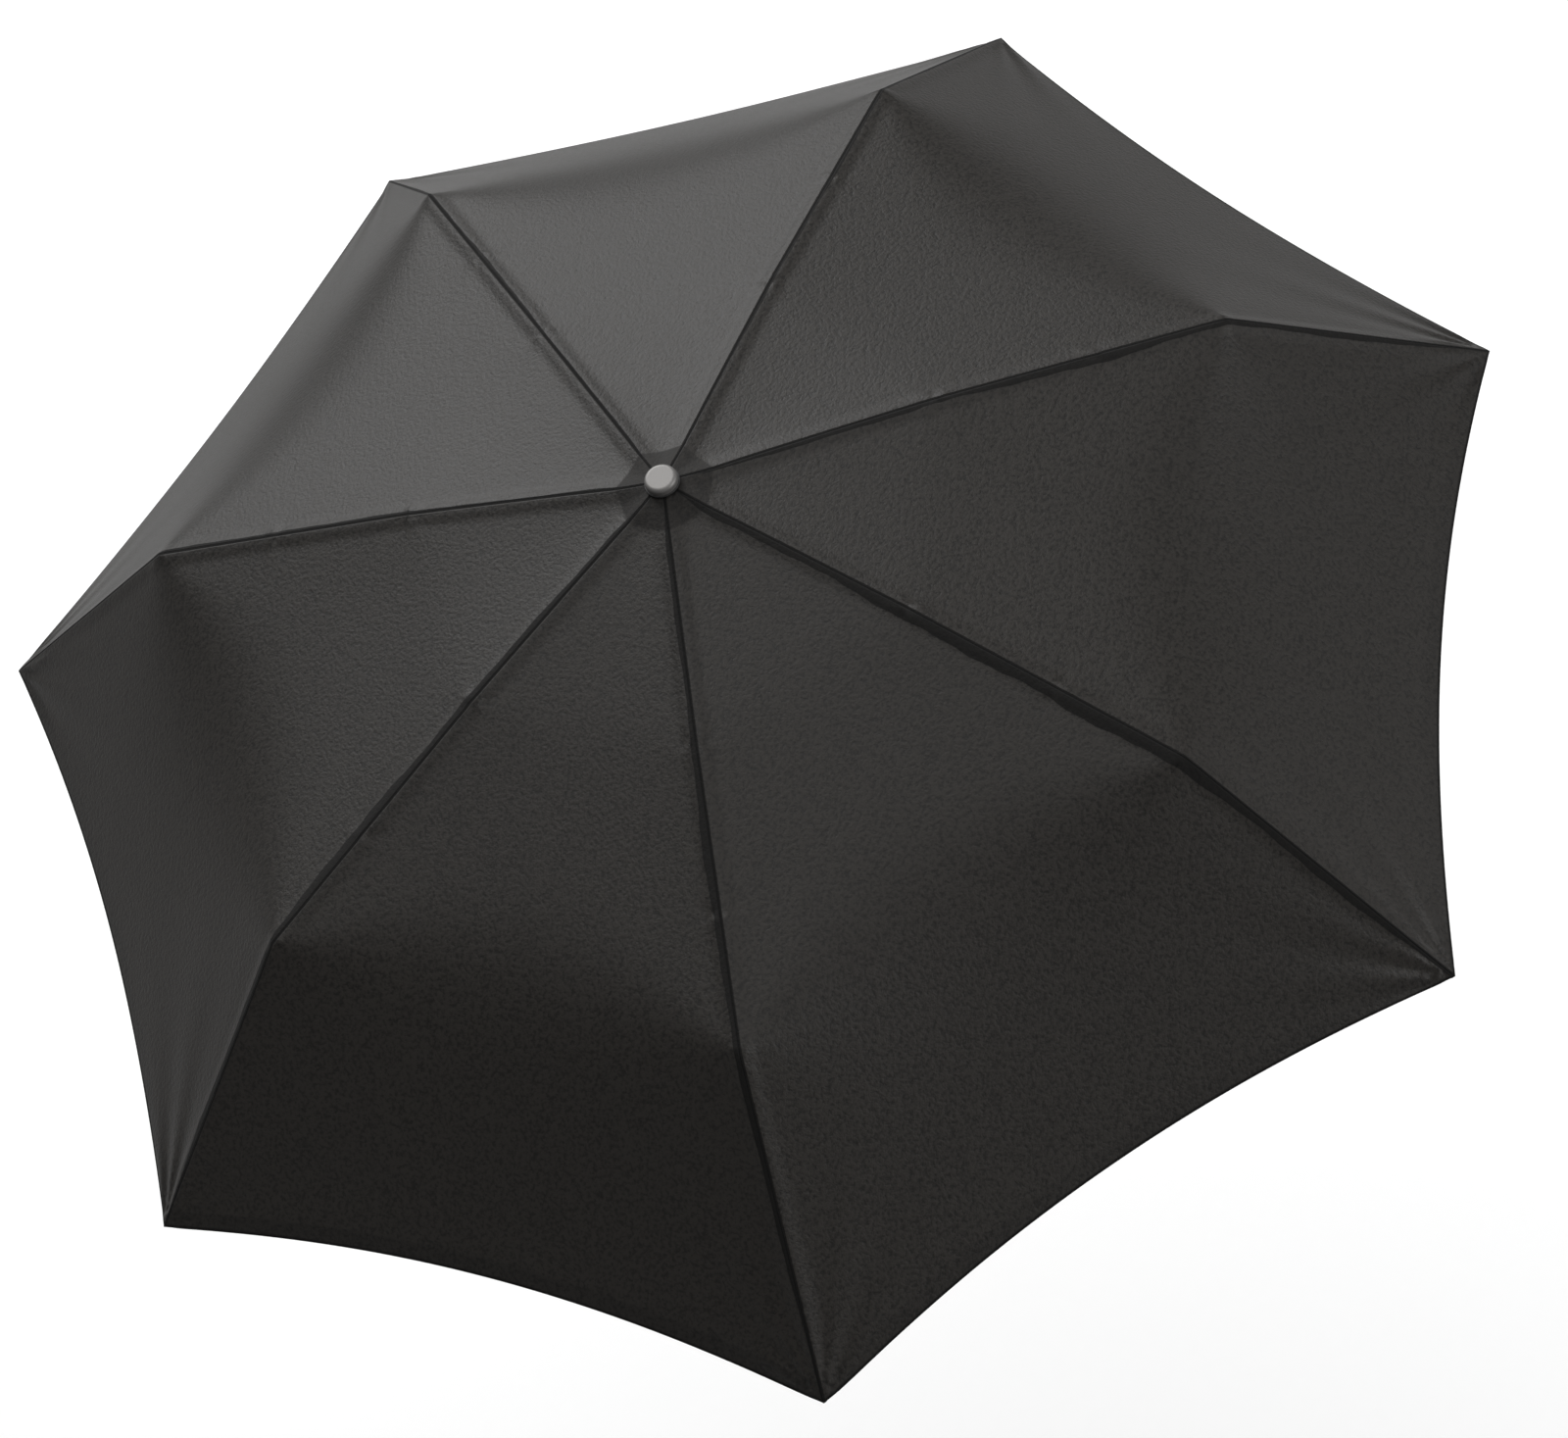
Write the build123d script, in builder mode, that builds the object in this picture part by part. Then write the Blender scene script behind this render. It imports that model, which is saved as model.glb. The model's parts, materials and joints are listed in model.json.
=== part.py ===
from build123d import *
import os
from math import asin, cos, degrees, radians, sin, sqrt, tan

# A manual folding umbrella, open and extended, modelled in millimetres.
# Z points up along the shaft and the origin is the middle of the handle's flat foot.
# Seven ribs stand around the shaft, the first one over +X.  Each rib is a chain in its own upright
# plane: top rib, middle rib and tip rib, raised by a stretcher from the runner and steered by a link rod.

# ---------------------------------------------------------------- driving dimensions
rib_count = 7

# handle
grip_radius = 15.5
handle_height = 75.0
end_cap_height = 6.0
end_cap_spigot_radius = 9.0
end_cap_spigot_height = 6.0
knot_space_height = 16.0
strap_hole_radius = 2.5
grip_edge_fillet = 2.5
screw_radius = 1.2
screw_head_radius = 2.2
screw_length = 12.0

# telescopic shaft
upper_tube_radius = 6.5
tube_wall = 0.6
tube_clearance = 0.12
section_travel = 150.0
collapsed_height = 205.0
upper_tube_foot_gap = 4.0
middle_tube_length = 190.0
middle_tube_foot_gap = 1.8
lower_tube_reach = 178.0
lower_tube_seat_depth = 52.0
stop_bead_width = 0.7
stop_bead_height = 1.6
plug_length = 8.0
plug_lip = 1.2
friction_ring_height = 1.6

# crown, which holds the inner ends of the ribs
notch_floor_wall = 1.0    # from the upper tube's outside to the notches' floor
hinge_depth = 2.0         # from the notches' floor out to the wire ring
hub_rim = 3.5             # from the wire ring out to the hub's rim
notch_width = 3.3
ring_wire_radius = 0.5
crown_top = 1.1
crown_depth = 5.0
crown_collar_depth = 12.0

# runner, which slides on the upper tube and carries the stretchers
runner_clearance = 0.15
runner_top = 1.4
runner_flange_depth = 5.0
runner_length = 24.0
runner_neck_wall = 1.95
runner_lip = 2.0
runner_lip_height = 3.0
sleeve_wall = 0.7

# leaf catch that holds the runner up
catch_azimuth = 180.0
catch_width = 3.0
catch_length = 13.0
catch_thickness = 0.45
catch_reach = 2.0
catch_gap = 0.3

# ribs: slopes below the horizontal with the canopy open
top_rib_slope = 10.0
middle_rib_slope = 11.3
tip_rib_slope = 41.9
top_rib_length = 156.0
middle_rib_length = 174.0
tip_rib_length = 199.5

top_rib_width = 4.4
top_rib_height = 3.2
middle_rib_width = 3.6
middle_rib_height = 2.6
stretcher_width = 2.6
stretcher_height = 2.6
sheet_metal = 0.6
middle_sheet_metal = 0.5
tip_wire_radius = 1.0
tip_cap_radius = 1.8
tip_cap_length = 13.0
tip_cap_grip = 8.0

knee_rise = 2.2          # first knee's pivot, above the ribs' middle line
elbow_drop = 2.2         # second knee's pivot, below the ribs' middle line
stretcher_length = 88.0
stretcher_drop = 4.0     # stretcher's upper pivot, below the top rib's middle line
link_arm = 5.2           # link rod's pivot on the stretcher, from the stretcher's upper pivot
lever_arm = 4.8          # link rod's pivot on the middle rib, from the first knee
lever_angle = 190.0

# pivots
rivet_radius = 0.55
pivot_clearance = 0.05
rivet_head_radius = 1.0
rivet_head = 0.35
eye_wall = 1.1
ring_eye_radius = 1.7
side_gap = 0.3
end_gap = 2.4            # from a knee's or elbow's pivot to the end of a channel's web
fork_reach = 7.0         # how far a fork's cheeks run back along their channel
link_thickness = 1.0
link_height = 2.0
link_slack = 0.8         # the link rod's outer eye is open by this much around its pin
link_head_radius = 1.9
link_eye_wall = 0.8
lever_plate = 0.6
lever_root = 5.0         # length of the lever's foot on the middle rib
crown_clear = 3.3        # from the hub's rim to the start of the top rib's channel
knee_clear = 4.4         # from the knee's pivot to the start of the middle rib's channel
web_lead = 3.0           # length at the inner end of a channel that is left solid
tongue_lap = 4.0         # how far the top rib's tongue runs into its channel
ear_reach = 3.0          # how far the stretcher's ears run along the top rib, each way
ear_drop = 0.5           # ears stand this much below the rib's top
fork_lap = 1.0           # a fork's cheeks stop this far before the end of their channel
tip_eye_reach = 6.0
wire_lap = 1.0           # how far a tip wire runs into its flat eye
stretcher_end = 0.5      # a stretcher's channel stops this far from its pivots
stretcher_lead = 4.0     # solid length of the stretcher before its link rod's pivot

# canopy
fabric_thickness = 0.5
fabric_gap = 0.4
crown_fabric_rise = 3.0  # fabric's underside above the top rib's middle line, at the crown
fabric_hole_gap = 0.5    # from the upper tube's outside to the hole in the fabric
hem_rise = 17.0          # how far the hem curves in between two tips, seen from above
rosette_radius = 30.0
rosette_thickness = 0.3
rosette_gap = 0.15

# top cap
cap_radius = 9.75
cap_height = 4.6
cap_fillet = 2.4
washer_radius = 10.5
washer_height = 1.0
washer_lift = 0.3
cap_spigot_depth = 7.0

# ---------------------------------------------------------------- derived sizes
pitch_angle = 360.0 / rib_count
half_pitch = radians(pitch_angle / 2)
crown_height = handle_height + collapsed_height + 2 * section_travel

middle_tube_radius = upper_tube_radius - tube_wall - tube_clearance
lower_tube_radius = middle_tube_radius - tube_wall - tube_clearance
upper_tube_foot = handle_height + upper_tube_foot_gap + 2 * section_travel
middle_tube_foot = handle_height + middle_tube_foot_gap + section_travel
lower_tube_top = handle_height + lower_tube_reach

notch_floor_radius = upper_tube_radius + notch_floor_wall
hinge_circle = notch_floor_radius + hinge_depth
hub_radius = hinge_circle + hub_rim
runner_neck_radius = upper_tube_radius + runner_clearance + runner_neck_wall
runner_lip_radius = runner_neck_radius + runner_lip
fabric_hole_radius = upper_tube_radius + fabric_hole_gap
screw_offset = (end_cap_spigot_radius + grip_radius) / 2

hole_radius = rivet_radius + pivot_clearance
eye_radius = hole_radius + eye_wall

opening_angle = top_rib_slope + degrees(asin(stretcher_drop / stretcher_length))
runner_height = crown_height - 2 * stretcher_length * sin(radians(opening_angle))
runner_foot = runner_height - runner_length
runner_bore = upper_tube_radius + runner_clearance

# sideways layers of a rib, measured from its middle plane
top_rib_inner = top_rib_width / 2 - sheet_metal
middle_rib_inner = middle_rib_width / 2 - middle_sheet_metal
lever_near = top_rib_width / 2 + side_gap
lever_far = lever_near + lever_plate
link_near = lever_far + side_gap
link_far = link_near + link_thickness


def along(slope, distance, rise):
    """The step (outward, up) of a point at a distance along a rib and a rise square to it."""
    s = radians(slope)
    return (distance * cos(s) + rise * sin(s), rise * cos(s) - distance * sin(s))


def step(start, slope, distance, rise):
    out, up = along(slope, distance, rise)
    return (start[0] + out, start[1] + up)


# pivots of the first rib as (outward, up)
crown_pivot = (hinge_circle, crown_height)
runner_pivot = (hinge_circle, runner_height)
stretcher_pivot = step(crown_pivot, top_rib_slope, sqrt(stretcher_length**2 - stretcher_drop**2),
                       -stretcher_drop)
knee = step(crown_pivot, top_rib_slope, top_rib_length, knee_rise)
elbow = step(knee, middle_rib_slope, middle_rib_length, -knee_rise - elbow_drop)
tip = step(elbow, tip_rib_slope, tip_rib_length, elbow_drop)
link_pivot = step(stretcher_pivot, -opening_angle, -link_arm, 0)
lever_x = lever_arm * cos(radians(lever_angle))
lever_y = lever_arm * sin(radians(lever_angle))
lever_pivot = step(knee, middle_rib_slope, lever_x, lever_y)

# canopy's underside along a rib as (outward, up)
crown_cover = (hinge_circle, crown_height + crown_fabric_rise)
knee_cover = (knee[0], knee[1] + eye_radius + fabric_gap)
elbow_cover = step(elbow, (middle_rib_slope + tip_rib_slope) / 2, 0,
                   elbow_drop + middle_rib_height / 2 + fabric_gap)
tip_cover = step(tip, tip_rib_slope, 0, tip_cap_radius + fabric_gap)
cover_slope = (crown_cover[1] - knee_cover[1]) / (knee_cover[0] - crown_cover[0])
hole_cover = (fabric_hole_radius, crown_cover[1] + cover_slope * (hinge_circle - fabric_hole_radius))
canopy_line = [hole_cover, knee_cover, elbow_cover, tip_cover]


def rib_frame(point, slope):
    """A plane in the first rib's upright plane, with its x running down the slope."""
    s = radians(slope)
    return Plane(origin=(point[0], 0, point[1]), x_dir=(cos(s), 0, -sin(s)), z_dir=(0, -1, 0))


def rivet(frame, place, near, far, near_head=True, far_head=True, far_radius=rivet_head_radius):
    """A rivet across a rib, from one side to the other, with a head on each end that has one."""
    heads = [(near, -rivet_head, rivet_head_radius)] * near_head + [(far, rivet_head, far_radius)] * far_head
    with BuildPart() as pin:
        with BuildSketch(frame.offset(near)):
            with Locations(place):
                Circle(rivet_radius)
        extrude(amount=far - near)
        for level, thickness, radius in heads:
            with BuildSketch(frame.offset(level)):
                with Locations(place):
                    Circle(radius)
            extrude(amount=thickness)
    return pin.part


def save(name, *pieces):
    """Write one node, made of one piece or of several separate ones."""
    node = pieces[0] if len(pieces) == 1 else Compound(children=list(pieces))
    node.label = name
    export_step(node, f"parts/{name}.step")


def save_round(name, *pieces):
    """Write one node for each rib, turned about the shaft."""
    for number in range(rib_count):
        turned = [piece.rotate(Axis.Z, number * pitch_angle) for piece in pieces]
        save(f"{name}_{number + 1}", *turned)


os.makedirs("parts", exist_ok=True)

# ---------------------------------------------------------------- handle
with BuildPart() as handle_grip:
    with BuildSketch(Plane.XY.offset(end_cap_height)):
        Circle(grip_radius)
    extrude(amount=handle_height - end_cap_height)
    fillet(handle_grip.edges().group_by(Axis.Z)[-1], grip_edge_fillet)
    with BuildSketch(Plane.XY.offset(end_cap_height)):
        Circle(end_cap_spigot_radius + pivot_clearance)
    extrude(amount=knot_space_height, mode=Mode.SUBTRACT)
    with BuildSketch(Plane.XY.offset(handle_height)):
        Circle(lower_tube_radius + pivot_clearance)
    extrude(amount=-lower_tube_seat_depth, mode=Mode.SUBTRACT)
    with BuildSketch(Plane.XY.offset(end_cap_height)):
        with PolarLocations(screw_offset, 2, start_angle=90):
            Circle(screw_radius + pivot_clearance)
    extrude(amount=screw_length - end_cap_height + 1, mode=Mode.SUBTRACT)
save("handle_grip", handle_grip.part)

with BuildPart() as handle_end_cap:
    with BuildSketch():
        Circle(grip_radius)
    extrude(amount=end_cap_height)
    fillet(handle_end_cap.edges().group_by(Axis.Z)[0], grip_edge_fillet / 2)
    with BuildSketch(Plane.XY.offset(end_cap_height)):
        Circle(end_cap_spigot_radius)
    extrude(amount=end_cap_spigot_height)
    with BuildSketch():
        Circle(strap_hole_radius)
    extrude(amount=end_cap_height + end_cap_spigot_height, mode=Mode.SUBTRACT)
    with Locations(Plane(origin=(0, 0, 0), z_dir=(0, 0, -1))):
        with PolarLocations(screw_offset, 2, start_angle=90):
            CounterSinkHole(screw_radius + pivot_clearance, screw_head_radius + 4 * pivot_clearance,
                            depth=end_cap_height, counter_sink_angle=90)
save("handle_end_cap", handle_end_cap.part)

with BuildPart() as end_cap_screws:
    for side in (1, -1):
        with BuildSketch(Plane(origin=(0, side * screw_offset, 0), x_dir=(1, 0, 0), z_dir=(0, -1, 0))):
            with BuildLine():
                Polyline((0, pivot_clearance), (screw_head_radius, pivot_clearance),
                         (screw_radius, pivot_clearance + screw_head_radius - screw_radius),
                         (screw_radius, screw_length), (0, screw_length), close=True)
            make_face()
        revolve(axis=Axis((0, side * screw_offset, 0), (0, 0, 1)))
save("end_cap_screws", end_cap_screws.part)


# ---------------------------------------------------------------- telescopic shaft
def tube(radius, foot, head):
    with BuildPart() as pipe:
        with BuildSketch(Plane.XY.offset(foot)):
            Circle(radius)
            Circle(radius - tube_wall, mode=Mode.SUBTRACT)
        extrude(amount=head - foot)
    return pipe.part


def tube_plug(radius, head):
    """The plug in an inner tube's top end, and the split friction ring in its groove."""
    lip_height = 2 * plug_lip + friction_ring_height
    groove_radius = radius - tube_wall - plug_lip
    with BuildPart() as plug:
        with BuildSketch(Plane.XZ):
            with BuildLine():
                Polyline((0, head - plug_length), (radius - tube_wall - pivot_clearance, head - plug_length),
                         (radius - tube_wall - pivot_clearance, head), (radius, head),
                         (radius, head + plug_lip), (groove_radius, head + plug_lip),
                         (groove_radius, head + plug_lip + friction_ring_height),
                         (radius, head + plug_lip + friction_ring_height),
                         (radius, head + lip_height), (0, head + lip_height), close=True)
            make_face()
        revolve(axis=Axis.Z)
    with BuildPart() as ring:
        with BuildSketch(Plane.XY.offset(head + plug_lip + pivot_clearance)):
            Circle(radius + tube_clearance / 2)
            Circle(groove_radius + pivot_clearance, mode=Mode.SUBTRACT)
            with Locations((radius, 0)):
                Rectangle(2 * radius, friction_ring_height, mode=Mode.SUBTRACT)
        extrude(amount=friction_ring_height - 2 * pivot_clearance)
    return plug.part, ring.part


catch_head = runner_foot - catch_gap
catch_foot = catch_head - catch_length
catch_inner = upper_tube_radius - (tube_wall + catch_thickness) / 2
catch_plane = Plane.XZ.rotated((0, 0, catch_azimuth))

save("lower_tube", tube(lower_tube_radius, handle_height - lower_tube_seat_depth, lower_tube_top))
save("lower_tube_plug", *tube_plug(lower_tube_radius, lower_tube_top))

with BuildPart() as middle_tube:
    add(tube(middle_tube_radius, middle_tube_foot, middle_tube_foot + middle_tube_length))
    with BuildSketch(Plane.XY.offset(middle_tube_foot)):
        Circle(middle_tube_radius + stop_bead_width)
        Circle(middle_tube_radius - tube_wall, mode=Mode.SUBTRACT)
    extrude(amount=stop_bead_height)
save("middle_tube", middle_tube.part)
save("middle_tube_plug", *tube_plug(middle_tube_radius, middle_tube_foot + middle_tube_length))

with BuildPart() as upper_tube:
    add(tube(upper_tube_radius, upper_tube_foot, crown_height))
    with BuildSketch(catch_plane):
        with Locations((upper_tube_radius, (catch_head + catch_foot) / 2)):
            Rectangle(4 * tube_wall, catch_length + 4 * catch_gap)
    extrude(amount=catch_width / 2 + catch_gap, both=True, mode=Mode.SUBTRACT)
save("upper_tube", upper_tube.part)

with BuildPart() as runner_catch:
    with BuildSketch(catch_plane):
        with BuildLine():
            Polyline((catch_inner, catch_foot), (catch_inner + catch_thickness, catch_foot),
                     (catch_inner + catch_thickness + catch_reach, catch_head),
                     (catch_inner + catch_reach, catch_head), close=True)
        make_face()
    extrude(amount=catch_width / 2, both=True)
save("runner_catch", runner_catch.part)


# ---------------------------------------------------------------- crown, runner and their wire rings
def notched_hub(profile, level, notch_foot, notch_head):
    """A turned hub with a notch for each rib, and a round groove for the wire ring that they hinge on."""
    with BuildPart() as hub:
        with BuildSketch(Plane.XZ):
            with BuildLine():
                Polyline(*profile, close=True)
            make_face()
        revolve(axis=Axis.Z)
        with BuildSketch(Plane.XY.offset(notch_foot)):
            with PolarLocations(notch_floor_radius + hub_radius / 2, rib_count):
                Rectangle(hub_radius, notch_width)
        extrude(amount=notch_head - notch_foot, mode=Mode.SUBTRACT)
        with BuildSketch(Plane.XZ):
            with Locations((hinge_circle, level)):
                Circle(ring_wire_radius + pivot_clearance)
        revolve(axis=Axis.Z, mode=Mode.SUBTRACT)
    return hub.part


def wire_ring(level):
    with BuildPart() as ring:
        with BuildSketch(Plane.XZ):
            with Locations((hinge_circle, level)):
                Circle(ring_wire_radius)
        revolve(axis=Axis.Z)
    return ring.part


crown_bore = upper_tube_radius + pivot_clearance
crown_profile = [(crown_bore, crown_height - crown_collar_depth),
                 (notch_floor_radius, crown_height - crown_collar_depth),
                 (notch_floor_radius, crown_height - crown_depth),
                 (hub_radius, crown_height - crown_depth),
                 (hub_radius, crown_height + crown_top),
                 (crown_bore, crown_height + crown_top)]
save("crown", notched_hub(crown_profile, crown_height, crown_height - crown_depth,
                          crown_height + crown_top))
save("crown_ring", wire_ring(crown_height))

runner_profile = [(runner_bore, runner_foot),
                  (runner_lip_radius, runner_foot),
                  (runner_lip_radius, runner_foot + runner_lip_height),
                  (runner_neck_radius, runner_foot + runner_lip_height),
                  (runner_neck_radius, runner_height - runner_flange_depth),
                  (hub_radius, runner_height - runner_flange_depth),
                  (hub_radius, runner_height + runner_top),
                  (runner_bore, runner_height + runner_top)]
save("runner", notched_hub(runner_profile, runner_height, runner_height - ring_eye_radius - side_gap,
                           runner_height + runner_top))
save("runner_ring", wire_ring(runner_height))

with BuildPart() as runner_sleeve:
    with BuildSketch(Plane.XY.offset(runner_foot + runner_lip_height + pivot_clearance)):
        Circle(runner_neck_radius + pivot_clearance + sleeve_wall)
        Circle(runner_neck_radius + pivot_clearance, mode=Mode.SUBTRACT)
    extrude(amount=runner_length - runner_flange_depth - runner_lip_height - 2 * pivot_clearance)
save("runner_sleeve", runner_sleeve.part)


# ---------------------------------------------------------------- ribs
def tongue(frame, end_radius, reach, middle, height, half_width):
    """A flat tongue with a round end about the frame's origin."""
    with BuildPart() as piece:
        with BuildSketch(frame):
            Circle(end_radius)
            with Locations((end_radius, middle)):
                Rectangle(end_radius, height)
            make_hull()
            with Locations(((end_radius + reach) / 2, middle)):
                Rectangle(reach - end_radius, height)
        extrude(amount=half_width, both=True)
    return piece.part


def drill(frame, places, radius):
    """Round holes straight through a rib, as a solid to take away."""
    with BuildPart() as piece:
        with BuildSketch(frame):
            with Locations(*places):
                Circle(radius)
        extrude(amount=2 * link_far, both=True)
    return piece.part


def cheeks(frame, place, start, end, middle, height, inner, thickness):
    """The two plates of a fork: a round end about a pivot, run back into the channel's sides."""
    with BuildPart() as piece:
        for side in (1, -1):
            with BuildSketch(frame.offset(side * inner)):
                with Locations(place):
                    Circle(eye_radius)
                with Locations(((start + end) / 2, middle)):
                    Rectangle(end - start, height)
                make_hull()
            extrude(amount=side * thickness)
    return piece.part


def channel(frame, start, end, middle, width, height, thickness, hollow_start, hollow_end):
    """A strip folded to a channel that opens downward."""
    with BuildPart() as piece:
        with BuildSketch(frame):
            with Locations(((start + end) / 2, middle)):
                Rectangle(end - start, height)
        extrude(amount=width / 2, both=True)
        with BuildSketch(frame):
            with Locations(((hollow_start + hollow_end) / 2, middle - thickness)):
                Rectangle(hollow_end - hollow_start, height)
        extrude(amount=width / 2 - thickness, both=True, mode=Mode.SUBTRACT)
    return piece.part


# top rib, from the crown to the knee
top_frame = rib_frame(crown_pivot, top_rib_slope)
stretcher_place = (sqrt(stretcher_length**2 - stretcher_drop**2), -stretcher_drop)
knee_place = (top_rib_length, knee_rise)
top_channel_start = hub_rim + crown_clear
with BuildPart() as top_rib:
    add(channel(top_frame, top_channel_start, top_rib_length - end_gap, 0, top_rib_width,
                top_rib_height, sheet_metal, top_channel_start + web_lead, top_rib_length))
    add(tongue(top_frame, ring_eye_radius, top_channel_start + tongue_lap, 0, top_rib_height,
               stretcher_width / 2))
    add(cheeks(top_frame, stretcher_place, stretcher_place[0] - ear_reach,
               stretcher_place[0] + ear_reach, -ear_drop, top_rib_height - 2 * ear_drop,
               top_rib_inner, sheet_metal))
    add(cheeks(top_frame, knee_place, top_rib_length - fork_reach - fork_lap, top_rib_length - fork_lap, 0,
               top_rib_height, top_rib_inner, sheet_metal))
    add(drill(top_frame, [(0, 0)], ring_wire_radius + side_gap), mode=Mode.SUBTRACT)
    add(drill(top_frame, [stretcher_place, knee_place], hole_radius), mode=Mode.SUBTRACT)
outside = top_rib_width / 2 + pivot_clearance
save_round("top_rib", top_rib.part, rivet(top_frame, stretcher_place, -outside, outside),
           rivet(top_frame, knee_place, -outside, lever_far, far_head=False))

# middle rib, from the knee to the elbow, with the lever that the link rod turns
middle_frame = rib_frame(knee, middle_rib_slope)
elbow_place = (middle_rib_length, -knee_rise - elbow_drop)
lever_place = (lever_x, lever_y)
with BuildPart() as middle_rib:
    add(channel(middle_frame, knee_clear, middle_rib_length - end_gap, -knee_rise,
                middle_rib_width, middle_rib_height, middle_sheet_metal, knee_clear + web_lead,
                middle_rib_length))
    add(tongue(middle_frame, eye_radius, fork_reach, -knee_rise, middle_rib_height,
               stretcher_width / 2))
    add(cheeks(middle_frame, elbow_place, middle_rib_length - fork_reach, middle_rib_length - fork_lap,
               -knee_rise, middle_rib_height, middle_rib_inner, middle_sheet_metal))
    with BuildSketch(middle_frame.offset(lever_near)):
        with Locations((0, 0), lever_place):
            Circle(eye_radius)
        with Locations((knee_clear + web_lead, -knee_rise)):
            Rectangle(lever_root, middle_rib_height)
        make_hull()
    extrude(amount=lever_plate)
    with BuildSketch(middle_frame.offset(middle_rib_inner)):
        with Locations((knee_clear + web_lead, -knee_rise)):
            Rectangle(lever_root, middle_rib_height)
    extrude(amount=lever_far - middle_rib_inner)
    add(drill(middle_frame, [(0, 0), lever_place, elbow_place], hole_radius), mode=Mode.SUBTRACT)
outside = middle_rib_width / 2 + pivot_clearance
lever_pin = rivet(middle_frame, lever_place, lever_near, link_far + pivot_clearance, near_head=False,
                  far_radius=link_head_radius)
save_round("middle_rib", middle_rib.part, rivet(middle_frame, elbow_place, -outside, outside),
           lever_pin)

# tip rib, a wire from the elbow to its plastic tip
tip_frame = rib_frame(elbow, tip_rib_slope)
wire_start = step(elbow, tip_rib_slope, tip_eye_reach - wire_lap, elbow_drop)
wire_end = tip_rib_length - tip_cap_length + tip_cap_grip - pivot_clearance
with BuildPart() as tip_rib:
    add(tongue(tip_frame, eye_radius, tip_eye_reach, elbow_drop, 2 * tip_wire_radius, tip_wire_radius))
    add(drill(tip_frame, [(0, 0)], hole_radius), mode=Mode.SUBTRACT)
    with BuildSketch(Plane(origin=(wire_start[0], 0, wire_start[1]), x_dir=(0, 1, 0),
                           z_dir=tip_frame.x_dir)):
        Circle(tip_wire_radius)
    extrude(amount=wire_end - tip_eye_reach + wire_lap)
cap_start = step(elbow, tip_rib_slope, tip_rib_length - tip_cap_length, elbow_drop)
with BuildPart() as tip_cap:
    with BuildSketch(Plane(origin=(cap_start[0], 0, cap_start[1]), x_dir=(0, 1, 0),
                           z_dir=tip_frame.x_dir)):
        Circle(tip_cap_radius)
    extrude(amount=tip_cap_length)
    fillet(tip_cap.edges().sort_by(Axis.X)[-1], tip_cap_radius * 0.8)
    with BuildSketch(Plane(origin=(cap_start[0], 0, cap_start[1]), x_dir=(0, 1, 0),
                           z_dir=tip_frame.x_dir)):
        Circle(tip_wire_radius + pivot_clearance)
    extrude(amount=tip_cap_grip, mode=Mode.SUBTRACT)
save_round("tip_rib", tip_rib.part, tip_cap.part)

# stretcher, from the runner to the top rib
stretcher_frame = rib_frame(runner_pivot, -opening_angle)
link_place = (stretcher_length - link_arm, 0)
with BuildPart() as stretcher:
    add(channel(stretcher_frame, stretcher_end, stretcher_length - stretcher_end, 0, stretcher_width,
                stretcher_height, middle_sheet_metal, fork_reach,
                stretcher_length - link_arm - stretcher_lead))
    with BuildSketch(stretcher_frame):
        Circle(ring_eye_radius)
        with Locations((stretcher_length, 0)):
            Circle(eye_radius)
    extrude(amount=stretcher_width / 2, both=True)
    add(drill(stretcher_frame, [(0, 0)], ring_wire_radius + side_gap), mode=Mode.SUBTRACT)
    add(drill(stretcher_frame, [(stretcher_length, 0), link_place], hole_radius), mode=Mode.SUBTRACT)
outside = stretcher_width / 2 + pivot_clearance
save_round("stretcher", stretcher.part,
           rivet(stretcher_frame, link_place, -outside, link_far + pivot_clearance))

# link rod, from the stretcher to the middle rib's lever
link_run = (lever_pivot[0] - link_pivot[0], lever_pivot[1] - link_pivot[1])
link_length = sqrt(link_run[0]**2 + link_run[1]**2)
link_slope = -degrees(asin(link_run[1] / link_length))
link_frame = rib_frame(link_pivot, link_slope)
with BuildPart() as link_rod:
    with BuildSketch(link_frame.offset(link_near)):
        with Locations((link_length / 2, 0)):
            Rectangle(link_length, link_height)
        Circle(eye_radius)
        with Locations((link_length, 0)):
            Circle(rivet_radius + link_slack + link_eye_wall)
    extrude(amount=link_thickness)
    add(drill(link_frame, [(0, 0)], hole_radius), mode=Mode.SUBTRACT)
    add(drill(link_frame, [(link_length, 0)], rivet_radius + link_slack), mode=Mode.SUBTRACT)
save_round("link_rod", link_rod.part)


# ---------------------------------------------------------------- canopy
def faceted_wedge(line, thickness, outer_radius, edge_rise):
    """One gore's share of a skin that lies on two neighbouring ribs, flat across between them.

    line is the skin's underside along a rib, and edge_rise how far its outer edge curves inward.
    """
    profile = [(radius * cos(half_pitch), height) for radius, height in line]
    lifted = [(out, height + thickness) for out, height in reversed(profile)]
    inner, outer = line[0][0] * cos(half_pitch), outer_radius * cos(half_pitch)
    width = tan(half_pitch)
    floor = profile[-1][1] - 1
    with BuildPart() as wedge:
        with BuildSketch(Plane.XZ):
            with BuildLine():
                Polyline(*profile, *lifted, close=True)
            make_face()
        extrude(amount=profile[-1][0], both=True)
        with BuildSketch(Plane.XY.offset(floor)):
            with BuildLine():
                Polyline((outer, outer * width), (inner, inner * width), (inner, -inner * width),
                         (outer, -outer * width))
                ThreePointArc((outer, -outer * width), (outer - edge_rise, 0), (outer, outer * width))
            make_face()
        extrude(amount=profile[0][1] - floor + thickness + 1, mode=Mode.INTERSECT)
    return wedge.part.rotate(Axis.Z, pitch_angle / 2)


gore = faceted_wedge(canopy_line, fabric_thickness, tip_cover[0], hem_rise)
save_round("gore", gore)

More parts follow.
